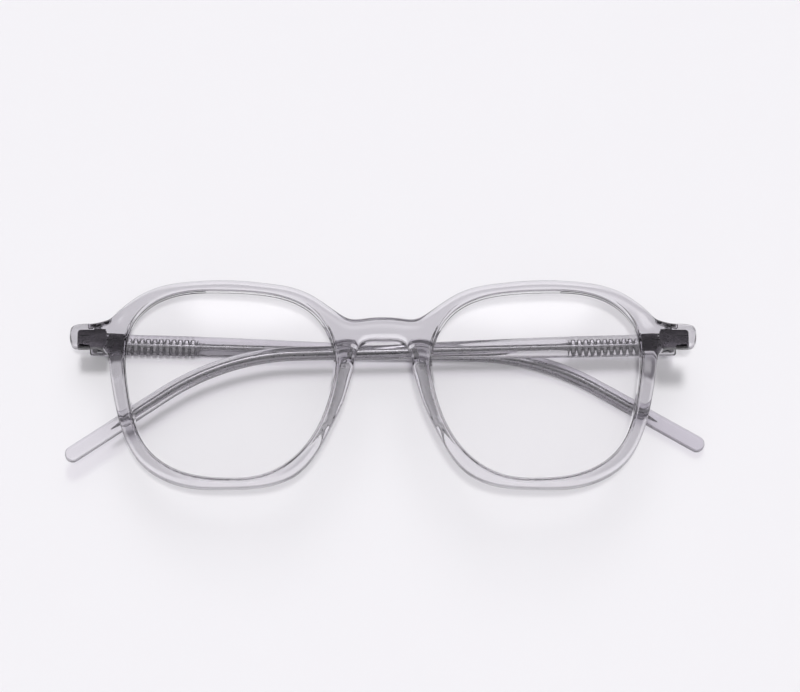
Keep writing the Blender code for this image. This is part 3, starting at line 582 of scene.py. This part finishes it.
def make_lens(side_name, side, material):
    """A crowned lens whose bevel sits in the groove."""
    opening = opening_loop()
    edge = offset_loop(opening, -LENS_FIT)
    flat = offset_loop(opening, -LENS_CHAMFER)
    apex = offset_loop(opening, LENS_BEVEL)
    middle = edge.mean(axis=0)
    bm = bmesh.new()

    def ring(points, rise, share):
        crown = LENS_CROWN * (1 - share**2)
        heights = rise + crown - sag(points[:, 0])
        return [(x, y, z) for (x, y), z in zip(points, heights)]

    rings = []
    for level in range(1, LENS_LEVELS + 1):
        share = level / LENS_LEVELS
        rings.append(ring(middle + (flat - middle) * share, LENS_THICKNESS / 2, share))
    rings.append(ring(edge, LENS_EDGE_HALF, 1))
    rings.append(ring(apex, LENS_APEX_HALF, 1))
    rings.append(ring(apex, -LENS_APEX_HALF, 1))
    rings.append(ring(edge, -LENS_EDGE_HALF, 1))
    for level in range(LENS_LEVELS, 0, -1):
        share = level / LENS_LEVELS
        rings.append(ring(middle + (flat - middle) * share, -LENS_THICKNESS / 2, share))
    skin(bm, rings, capped=True)
    place = FRONT_PLACE @ Matrix.Diagonal((side, 1, 1, 1))
    new_piece(
        "demo_lens_" + side_name, bm, material, "front", place,
        ("lens_" + side_name,), sharp=25.0,
    )


def temple_line(side_name, distance):
    """A temple's middle line and heading from the butt end; X from the axis, Y to the brow."""
    half_tangent = TEMPLE_BEND_RADIUS * math.tan(TEMPLE_TIP_DROP[side_name] / 2)
    straight = TEMPLE_TO_BEND - half_tangent
    arc = TEMPLE_BEND_RADIUS * TEMPLE_TIP_DROP[side_name]
    heading = -TEMPLE_SLOPE[side_name]
    place = Vector((-BUTT_REACH, 0))
    run = min(distance, straight)
    place += run * Vector((math.cos(heading), math.sin(heading)))
    turned = min(max(distance - straight, 0), arc) / TEMPLE_BEND_RADIUS
    place += TEMPLE_BEND_RADIUS * Vector((
        math.sin(turned - heading) + math.sin(heading),
        math.cos(turned - heading) - math.cos(heading),
    ))
    heading -= turned
    run = max(distance - straight - arc, 0)
    place += run * Vector((math.cos(heading), math.sin(heading)))
    return place, heading


def temple_half_height(distance):
    """Half a temple's height: even to the taper, narrowest at the waist, wider to the tip."""
    to_waist = smooth_step((distance - TEMPLE_TO_TAPER) / (TEMPLE_TO_WAIST - TEMPLE_TO_TAPER))
    to_tip = smooth_step((distance - TEMPLE_TO_WAIST) / (TEMPLE_LENGTH - TEMPLE_TO_WAIST))
    height = TEMPLE_HEIGHT + (TEMPLE_WAIST - TEMPLE_HEIGHT) * to_waist
    return (height + (TEMPLE_TIP_HEIGHT - TEMPLE_WAIST) * to_tip) / 2


def rounded_section(half_height, half_thickness, radius):
    """Points round a rectangle with round corners, (across, up)."""
    radius = min(radius, half_height * CORNER_LIMIT, half_thickness * CORNER_LIMIT)
    points = []
    for corner in range(4):
        side_a = (1, 1, -1, -1)[corner]
        side_b = (-1, 1, 1, -1)[corner]
        for i in range(CORNER_STEPS + 1):
            angle = math.pi / 2 * (corner - 1 + i / CORNER_STEPS)
            points.append((
                side_a * (half_height - radius) + radius * math.cos(angle),
                side_b * (half_thickness - radius) + radius * math.sin(angle),
            ))
    return points


def section_ring(side_name, distance, section):
    """A section's points, set square to a temple's middle line."""
    place, heading = temple_line(side_name, distance)
    across = (-math.sin(heading), math.cos(heading))
    return [
        (place.x + across[0] * a, place.y + across[1] * a, TEMPLE_MIDDLE_Z + b)
        for a, b in section
    ]


def end_inset(run, radius):
    """How far an edge of the given radius draws in at a distance from the end."""
    if run >= radius:
        return 0.0
    return radius - math.sqrt(max(radius**2 - (radius - run) ** 2, 0))


def box_cutter(name, low, high, place):
    """A box between two corners, to cut with."""
    bm = bmesh.new()
    bmesh.ops.create_cube(bm, size=1)
    low, high = Vector(low), Vector(high)
    for vertex in bm.verts:
        share = vertex.co + Vector((0.5, 0.5, 0.5))
        vertex.co = low + share * (high - low)
    return as_object(name, bm, place)


def cut_away(piece, cutters):
    """Subtracts the cutters, keeps the result as the piece's mesh and removes them."""
    for tool in cutters:
        modifier = piece.modifiers.new("cut", "BOOLEAN")
        modifier.object = tool
        modifier.solver = "EXACT"
    graph = bpy.context.evaluated_depsgraph_get()
    mesh = bpy.data.meshes.new_from_object(piece.evaluated_get(graph))
    piece.modifiers.clear()
    old = piece.data
    piece.data = mesh
    mesh.name = old.name
    bpy.data.meshes.remove(old)
    for tool in cutters:
        bpy.data.objects.remove(tool)
    mesh.shade_smooth()
    mesh.set_sharp_from_angle(angle=math.radians(CUT_SHARP))


def make_temple(side_name, side, material):
    """A temple from butt to tip, with its butt cut back for the barrels and the hinge leaf."""
    tip_radius = TEMPLE_TIP_HEIGHT / 2
    stations = [
        BUTT_ROUND * (1 - math.cos(math.pi / 2 * i / BUTT_STEPS)) for i in range(BUTT_STEPS + 1)
    ]
    last = TEMPLE_LENGTH - tip_radius
    count = math.ceil((last - BUTT_ROUND) / TEMPLE_STEP)
    stations += [BUTT_ROUND + (last - BUTT_ROUND) * i / count for i in range(1, count + 1)]
    stations += [
        last + tip_radius * math.sin(math.pi / 2 * i / TIP_STEPS) for i in range(1, TIP_STEPS)
    ]
    stations.append(TEMPLE_LENGTH - TIP_FLAT)
    rings = []
    for s in stations:
        half_height = float(temple_half_height(s)) - end_inset(s, BUTT_ROUND)
        if s > last:
            half_height = math.sqrt(tip_radius**2 - (s - last) ** 2)
        half_thick = TEMPLE_THICKNESS / 2 - end_inset(s, BUTT_ROUND)
        half_thick -= end_inset(TEMPLE_LENGTH - s, TEMPLE_ROUND)
        section = rounded_section(half_height, half_thick, TEMPLE_ROUND)
        rings.append(section_ring(side_name, s, section))
    bm = bmesh.new()
    skin(bm, rings, capped=True)
    place = temple_place(side)
    body = "temple_arm_" + side_name
    piece = new_piece(
        "acetate_temple_" + side_name, bm, material, body, place,
        ("temple_" + side_name,), sharp=30.0,
    )
    reach = TEMPLE_HEIGHT
    relief = bmesh.new()
    bmesh.ops.create_cone(
        relief, cap_ends=True, segments=RELIEF_SIDES, radius1=BARREL_ROOM, radius2=BARREL_ROOM,
        depth=2 * reach,
    )
    turn = Matrix.Rotation(math.radians(90), 4, "X")
    cutters = [
        as_object("relief", relief, place @ turn),
        box_cutter("butt", (-2 * BUTT_REACH, -reach, -BARREL_ROOM), (0, reach, reach), place),
        box_cutter(
            "step",
            (
                LEAF_START - STEP_BEFORE_LEAF, -reach,
                -AXIS_TO_TEMPLE - LEAF_THICKNESS - STEP_UNDER_LEAF,
            ),
            (LEAF_START + LEAF_LENGTH + STEP_BEYOND_LEAF, reach, reach),
            place,
        ),
    ]
    cut_away(piece, cutters)


def make_core(side_name, side, material):
    """The core wire: a flat head with cross ribs and a round ridge, then wire to a point."""
    head_end = CORE_START + CORE_RIBBED_LENGTH
    wire_end = TEMPLE_LENGTH - CORE_END_MARGIN
    step = CORE_RIB_PITCH / CORE_STEPS_PER_RIB
    count = round((CORE_RIBBED_LENGTH + CORE_TAPER_LENGTH) / step)
    run = head_end + CORE_TAPER_LENGTH - CORE_START
    stations = [CORE_START + run * i / count for i in range(count + 1)]
    plain = math.ceil((wire_end - stations[-1]) / TEMPLE_STEP)
    start = stations[-1]
    stations += [start + (wire_end - start) * i / plain for i in range(1, plain + 1)]
    rings = []
    for s in stations:
        into = s - CORE_START
        phase = (into / CORE_RIB_PITCH) % 1.0
        off = abs(phase - 0.5) / CORE_RIB_SHARE
        tooth = 0.0
        if into < CORE_RIBBED_LENGTH:
            tooth = math.sqrt(max(1 - off**CORE_RIB_POWER, 0))
        taper = s - head_end + CORE_TAPER_LENGTH * CORE_TAPER_LEAD
        taper = float(smooth_step(taper / (CORE_TAPER_LENGTH * (1 + CORE_TAPER_LEAD))))
        radius = CORE_WIRE_RADIUS
        point = (s - (wire_end - CORE_POINT_LENGTH)) / CORE_POINT_LENGTH
        if point > 0:
            radius += (CORE_POINT_RADIUS - CORE_WIRE_RADIUS) * point
        height = CORE_WEB_HALF + (CORE_HALF_HEIGHT - CORE_WEB_HALF) * tooth
        height += (radius - height) * taper
        flat = CORE_PLATE_HALF + (CORE_RIB_HALF - CORE_PLATE_HALF) * tooth
        flat *= 1 - taper
        end = end_inset(into, CORE_END_ROUND)
        section = []
        for i in range(CORE_SIDES):
            angle = 2 * math.pi * i / CORE_SIDES
            across = (height - end) * math.cos(angle)
            edge = abs(math.sin(angle)) ** CORE_SIDE_POWER
            ridge = math.sqrt(max(radius**2 - across**2, 0))
            up = max(flat * edge, ridge) * (1 if math.sin(angle) >= 0 else -1)
            if abs(math.sin(angle)) < TINY_SINE:
                up = 0.0
            section.append((across, up * (1 - end / MM)))
        rings.append(section_ring(side_name, s, section))
    bm = bmesh.new()
    skin(bm, rings, capped=True)
    new_piece(
        "ribbed_core_" + side_name, bm, material, "temple_arm_" + side_name,
        temple_place(side), ("core_wire_" + side_name,), sharp=50.0,
    )


def node(tree, kind, place, **values):
    """A shader node; each value goes to the socket of that name, or else to the node itself."""
    made = tree.nodes.new(kind)
    made.location = place
    for key, value in values.items():
        if key in made.inputs:
            made.inputs[key].default_value = value
        else:
            setattr(made, key, value)
    return made


def noise(tree, scale, detail, stretch=(1, 1, 1), place=(-900, 0)):
    """Noise that stays on the object."""
    coordinates = node(tree, "ShaderNodeTexCoord", (place[0] - 400, place[1]))
    mapping = node(tree, "ShaderNodeMapping", (place[0] - 200, place[1]), Scale=stretch)
    texture = node(tree, "ShaderNodeTexNoise", place, Scale=scale, Detail=detail)
    tree.links.new(coordinates.outputs["Object"], mapping.inputs["Vector"])
    tree.links.new(mapping.outputs["Vector"], texture.inputs["Vector"])
    return texture


def map_range(tree, source, span, ends, place, **settings):
    """A value that runs between the two ends as the source runs through the span."""
    made = node(tree, "ShaderNodeMapRange", place, **settings)
    for name, value in zip(("From Min", "From Max", "To Min", "To Max"), (*span, *ends)):
        made.inputs[name].default_value = value
    tree.links.new(source, made.inputs["Value"])
    return made.outputs["Result"]


def smooth_band(tree, source, low, high, place):
    """0 below low and 1 above high, smooth between; the other way round if low is above high."""
    ends = (0.0, 1.0) if low < high else (1.0, 0.0)
    span = (min(low, high), max(low, high))
    return map_range(tree, source, span, ends, place, interpolation_type="SMOOTHSTEP")


def math_node(tree, operation, first, second, place):
    """Arithmetic on two numbers or outputs; a second of None is left out."""
    made = node(tree, "ShaderNodeMath", place, operation=operation)
    for socket, value in zip(made.inputs, (first, second)):
        if isinstance(value, (int, float)):
            socket.default_value = value
        elif value is not None:
            tree.links.new(value, socket)
    return made.outputs["Value"]


def mottle(tree, source, first, second):
    """A colour that runs from the first to the second with the source."""
    made = node(tree, "ShaderNodeMix", (-250, 250), data_type="RGBA")
    made.inputs["A"].default_value = (*first, 1)
    made.inputs["B"].default_value = (*second, 1)
    tree.links.new(source, made.inputs["Factor"])
    return made.outputs["Result"]


def roughen(tree, shader, source, ends):
    """Runs the shader's roughness between two values with the source."""
    rough = map_range(tree, source, NOISE_SPAN, ends, (-250, 0))
    tree.links.new(rough, shader.inputs["Roughness"])


def bump(tree, shader, source, strength, distance):
    """Fine relief on the shader that follows the source."""
    made = node(tree, "ShaderNodeBump", (-250, -300), Strength=strength, Distance=distance)
    tree.links.new(source, made.inputs["Height"])
    tree.links.new(made.outputs["Normal"], shader.inputs["Normal"])


def base_material(name):
    """A new material with its node tree, shader and output."""
    material = bpy.data.materials.new(name)
    material.use_nodes = True
    tree = material.node_tree
    return material, tree, tree.nodes["Principled BSDF"], tree.nodes["Material Output"]


def see_through(tree, shader, output, shade):
    """Lets light on its way to the table pass the piece, tinted by shade, for a pale shadow."""
    clear = node(tree, "ShaderNodeBsdfTransparent", (200, -250), Color=(*shade, 1))
    path = node(tree, "ShaderNodeLightPath", (0, 350))
    either = node(tree, "ShaderNodeMath", (200, 350), operation="MAXIMUM")
    mix = node(tree, "ShaderNodeMixShader", (450, 0))
    tree.links.new(path.outputs["Is Shadow Ray"], either.inputs[0])
    tree.links.new(path.outputs["Is Diffuse Ray"], either.inputs[1])
    tree.links.new(either.outputs["Value"], mix.inputs[0])
    tree.links.new(shader.outputs["BSDF"], mix.inputs[1])
    tree.links.new(clear.outputs["BSDF"], mix.inputs[2])
    tree.links.new(mix.outputs["Shader"], output.inputs["Surface"])


def acetate(name, shade):
    """Clear cellulose acetate, tinted through its depth, with painted shade darkening its upright
    edges.
    """
    material, tree, shader, output = base_material(name)
    shader.inputs["Transmission Weight"].default_value = 1.0
    shader.inputs["IOR"].default_value = ACETATE_IOR
    cloud = noise(tree, scale=60.0, detail=2.0)
    tint = mottle(tree, cloud.outputs["Fac"], (0.96, 0.955, 0.965), (1.0, 0.995, 1.0))
    # Painted shade: the base colour is darkened on upright surfaces, standing in for dark
    # refracted outlines
    painted_edge_shade_mix = node(tree, "ShaderNodeMix", (-50, 350), data_type="RGBA", blend_type="MULTIPLY")
    painted_edge_shade_mix.inputs["B"].default_value = (*PAINTED_EDGE_SHADE, 1)
    facing = node(tree, "ShaderNodeTexCoord", (-1100, 600))
    split = node(tree, "ShaderNodeSeparateXYZ", (-900, 600))
    tree.links.new(facing.outputs["Normal"], split.inputs["Vector"])
    upright = math_node(tree, "ABSOLUTE", split.outputs["Z"], None, (-700, 600))
    steep = smooth_band(tree, upright, *PAINTED_SHADE_STEEPNESS, (-500, 600))
    painted_shade_attribute = node(tree, "ShaderNodeAttribute", (-1100, 1000), attribute_name="painted_shade_share")
    edge = math_node(tree, "ADD", painted_shade_attribute.outputs["Fac"], OUTER_PAINTED_SHADE, (-700, 1000))
    tree.links.new(math_node(tree, "MULTIPLY", steep, edge, (-300, 700)), painted_edge_shade_mix.inputs["Factor"])
    tree.links.new(tint, painted_edge_shade_mix.inputs["A"])
    tree.links.new(painted_edge_shade_mix.outputs["Result"], shader.inputs["Base Color"])
    haze = noise(tree, scale=260.0, detail=4.0, place=(-900, -350))
    roughen(tree, shader, haze.outputs["Fac"], (0.01, 0.04))
    polish = noise(tree, scale=110.0, detail=1.0, place=(-900, -700))
    bump(tree, shader, polish.outputs["Fac"], strength=0.02, distance=0.02 * MM)
    depth = node(tree, "ShaderNodeVolumeAbsorption", (450, -250), Density=ACETATE_DENSITY)
    depth.inputs["Color"].default_value = (*ACETATE_DEPTH_TINT, 1)
    tree.links.new(depth.outputs["Volume"], output.inputs["Volume"])
    see_through(tree, shader, output, shade)
    return material


def lens_clear():
    """Clear plastic of the demo lenses."""
    material, tree, shader, output = base_material("clear_lens")
    shader.inputs["Transmission Weight"].default_value = 1.0
    shader.inputs["IOR"].default_value = LENS_IOR
    cloud = noise(tree, scale=30.0, detail=1.0)
    tint = mottle(tree, cloud.outputs["Fac"], (0.985, 0.985, 0.985), (0.995, 0.99, 0.995))
    tree.links.new(tint, shader.inputs["Base Color"])
    haze = noise(tree, scale=500.0, detail=3.0, place=(-900, -350))
    roughen(tree, shader, haze.outputs["Fac"], (0.0, 0.012))
    see_through(tree, shader, output, shade=(0.985, 0.985, 0.985))
    return material


def metal(name, dark, light, rough, scale, stretch, strength):
    """Metal with grain; stretch packs the grain closer along an axis, strength is its relief."""
    material, tree, shader, _ = base_material(name)
    shader.inputs["Metallic"].default_value = 1.0
    grain = noise(tree, scale, detail=4.0, stretch=stretch).outputs["Fac"]
    tree.links.new(mottle(tree, grain, dark, light), shader.inputs["Base Color"])
    roughen(tree, shader, grain, rough)
    bump(tree, shader, grain, strength, distance=0.03 * MM)
    return material


def floor_material():
    """Pale matt paper."""
    material, tree, shader, _ = base_material("pale_table")
    shader.inputs["Roughness"].default_value = 0.85
    shader.inputs["Specular IOR Level"].default_value = 0.2
    paper = noise(tree, scale=40.0, detail=4.0)
    tint = mottle(tree, paper.outputs["Fac"], (0.870, 0.859, 0.882), (0.880, 0.869, 0.892))
    tree.links.new(tint, shader.inputs["Base Color"])
    return material


def add_camera():
    """The photograph's view: level with the front's own left-to-right axis."""
    right = Vector((1, 0, 0))
    up = Vector((0, math.sin(CAMERA_TILT), math.cos(CAMERA_TILT)))
    back = right.cross(up)
    off_x = (IMAGE_WIDTH_PX / 2 - FRONT_MIDDLE_PX[0]) / PX_PER_MM * MM
    off_y = (FRONT_MIDDLE_PX[1] - IMAGE_HEIGHT_PX / 2) / PX_PER_MM * MM
    place = right * off_x + up * off_y + back * CAMERA_DISTANCE
    turn = Matrix((right, up, back)).transposed().to_4x4()
    data = bpy.data.cameras.new("camera")
    data.sensor_width = SENSOR_MM
    field = IMAGE_WIDTH_PX / PX_PER_MM * MM
    data.lens = SENSOR_MM * CAMERA_DISTANCE / field
    data.clip_start = CAMERA_NEAR
    data.clip_end = CAMERA_FAR
    camera = bpy.data.objects.new("camera", data)
    bpy.context.scene.collection.objects.link(camera)
    camera.matrix_world = FRONT_PLACE @ Matrix.Translation(place) @ turn
    bpy.context.scene.camera = camera


def add_sun(name, lean, spread, share):
    """A wide even lamp that isn't seen in reflections or through clear pieces."""
    data = bpy.data.lights.new(name, "SUN")
    data.angle = spread
    data.energy = share * math.pi / math.cos(lean)
    light = bpy.data.objects.new(name, data)
    light.rotation_euler = (-lean, 0, 0)
    light.location = (0, math.sin(lean), math.cos(lean))
    light.visible_glossy = False
    light.visible_transmission = False
    bpy.context.scene.collection.objects.link(light)
    return light


def add_world():
    """A dim room with a brighter ceiling and one soft window of light on the brow side."""
    world = bpy.data.worlds.new("room")
    world.use_nodes = True
    tree = world.node_tree
    background = tree.nodes["Background"]
    background.inputs["Color"].default_value = (0.98, 0.965, 1.0, 1)
    coordinates = node(tree, "ShaderNodeTexCoord", (-1500, 0))
    split = node(tree, "ShaderNodeSeparateXYZ", (-1300, 0))
    tree.links.new(coordinates.outputs["Generated"], split.inputs["Vector"])
    aside = math_node(tree, "ABSOLUTE", split.outputs["X"], None, (-1100, 200))
    across = smooth_band(tree, aside, *WINDOW_SIDE_FADE, (-900, 200))
    near = smooth_band(tree, split.outputs["Y"], *WINDOW_NEAR_FADE, (-900, 0))
    far = smooth_band(tree, split.outputs["Y"], *WINDOW_FAR_FADE, (-900, -200))
    window = math_node(tree, "MULTIPLY", across, near, (-700, 100))
    window = math_node(tree, "MULTIPLY", window, far, (-500, 100))
    window = math_node(tree, "MULTIPLY", window, WINDOW_STRENGTH, (-300, 100))
    up = math_node(tree, "MAXIMUM", split.outputs["Z"], 0.0, (-1100, -400))
    ceiling = math_node(tree, "POWER", up, CEILING_FALL, (-900, -400))
    ceiling = math_node(tree, "MULTIPLY", ceiling, CEILING_STRENGTH, (-700, -400))
    ceiling = math_node(tree, "ADD", ceiling, WALL_STRENGTH, (-500, -400))
    total = math_node(tree, "ADD", window, ceiling, (-150, 0))
    tree.links.new(total, background.inputs["Strength"])
    bpy.context.scene.world = world


def add_stage():
    """The table, in its room."""
    bm = bmesh.new()
    bmesh.ops.create_grid(bm, x_segments=1, y_segments=1, size=TABLE_HALF)
    mesh = bpy.data.meshes.new("table")
    bm.to_mesh(mesh)
    bm.free()
    mesh.materials.append(floor_material())
    table = bpy.data.objects.new("table", mesh)
    bpy.context.scene.collection.objects.link(table)
    add_world()


FRONT_ACETATE = acetate("clear_grey_acetate", shade=(0.48, 0.47, 0.49))
TEMPLE_ACETATE = acetate("clear_grey_acetate_arm", shade=(0.90, 0.89, 0.91))
LENS = lens_clear()
# Painted shade: the hinge metal is coloured far darker than nickel silver, standing in for dark
# reflections and shade inside the endpieces
HINGE_PAINTED_SHADE = metal(
    "nickel_silver_hinge", dark=(0.05, 0.045, 0.053), light=(0.17, 0.16, 0.175),
    rough=(0.24, 0.40), scale=900.0, stretch=(1, 6, 1), strength=0.10,
)
SCREW = metal(
    "steel_screw", dark=(0.60, 0.60, 0.62), light=(0.74, 0.74, 0.76),
    rough=(0.18, 0.30), scale=1200.0, stretch=(1, 1, 1), strength=0.10,
)
CORE = metal(
    "nickel_silver_core", dark=(0.66, 0.65, 0.67), light=(0.82, 0.81, 0.83),
    rough=(0.24, 0.36), scale=700.0, stretch=(1, 4, 1), strength=0.08,
)

add_camera()
add_stage()
front = make_front(FRONT_ACETATE)
for side_name, side in SIDES:
    make_lens(side_name, side, LENS)
    make_temple(side_name, side, TEMPLE_ACETATE)
    make_core(side_name, side, CORE)
    for name, material in (
        ("front_hinge_", HINGE_PAINTED_SHADE), ("temple_hinge_", HINGE_PAINTED_SHADE), ("hinge_screw_", SCREW),
    ):
        part = frame["nodes"][name + side_name]
        part.data.materials.clear()
        part.data.materials.append(material)
        bevel = part.modifiers.new("soft_edges", "BEVEL")
        bevel.width = HARDWARE_BEVEL
        bevel.segments = 2
        bevel.limit_method = "ANGLE"
        bevel.harden_normals = False

for name, lean, spread, share, front_shades in LAMPS:
    lamp = add_sun(name, lean, spread, share)
    if not front_shades:
        shades = bpy.data.collections.new(name + "_shades")
        for piece in bpy.context.scene.objects:
            if piece.type == "MESH" and piece is not front:
                shades.objects.link(piece)
        lamp.light_linking.blocker_collection = shades

bpy.context.scene.view_settings.view_transform = "Standard"
bpy.context.view_layer.update()
